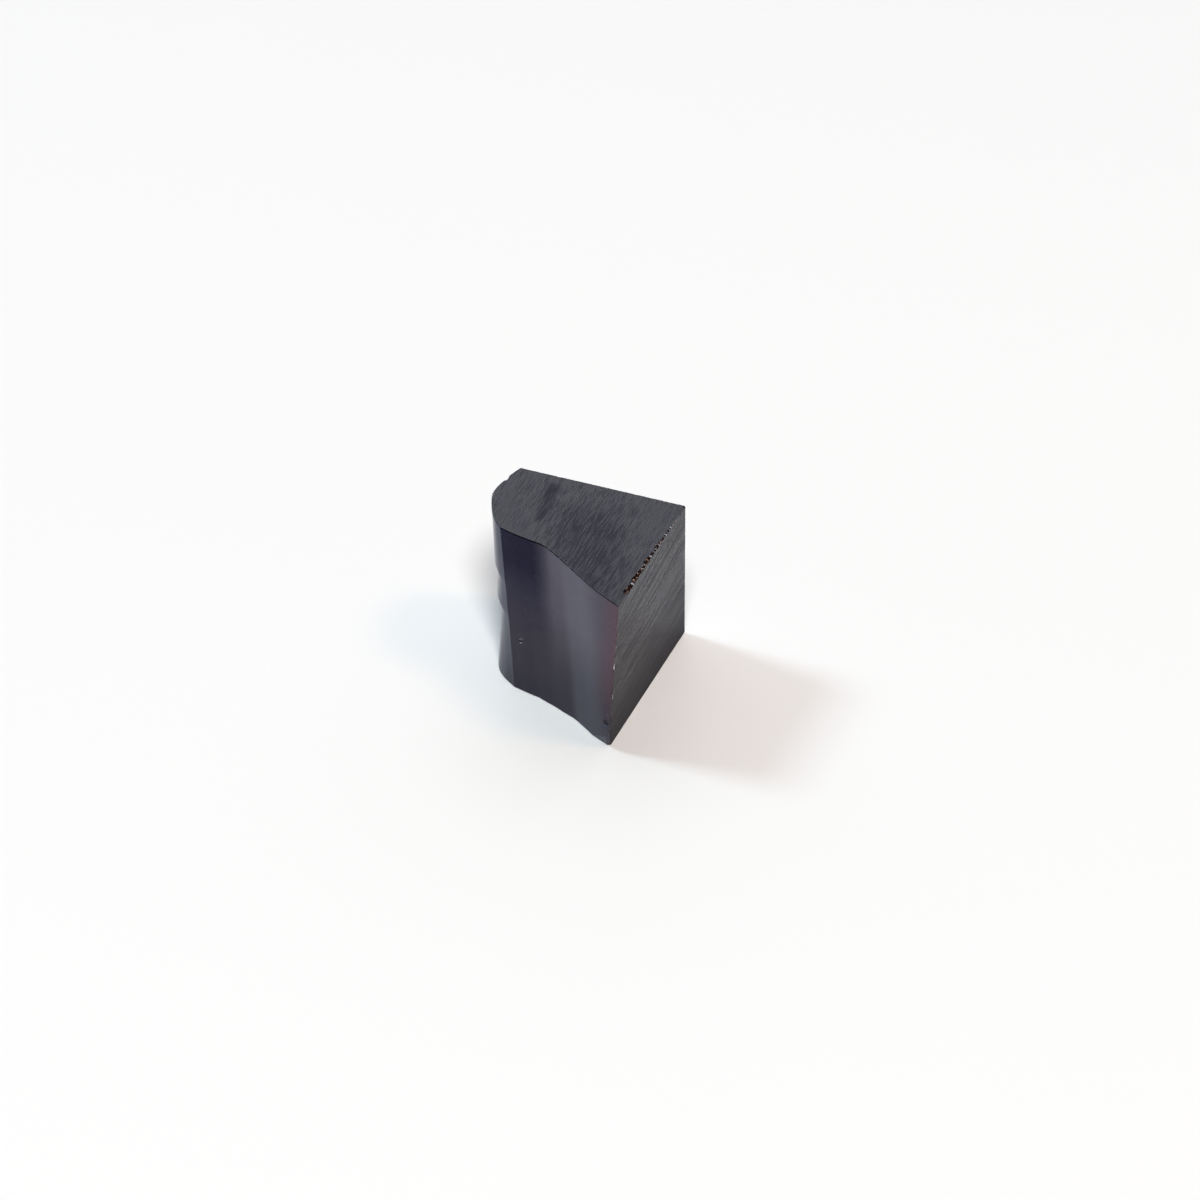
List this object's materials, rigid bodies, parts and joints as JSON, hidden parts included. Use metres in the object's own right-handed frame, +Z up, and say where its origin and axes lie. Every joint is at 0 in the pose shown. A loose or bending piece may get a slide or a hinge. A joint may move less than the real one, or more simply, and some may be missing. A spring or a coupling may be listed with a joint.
{
  "type": "alexandrite",
  "caption": "Dark alexandrite rough: a sawn corner of a grown boule, flat on the top, base, right and back, with smooth leaning grown skin on the front and left.",
  "frame": {"origin": "on the sawn base, under the middle of the bounding box", "axes": "+X out of the right saw cut, +Y out of the back saw cut, +Z up out of the sawn top"},
  "size_m": [0.014, 0.0154, 0.0117],
  "materials": {
    "crystal": "dark see-through crystal, nearly black at this thickness: matte with saw lines on the cut faces, smooth and glossy on the grown skin, red-purple at thin edges"
  },
  "bodies": {
    "root": {"alexandrite": "crystal"}
  },
  "joints": []
}
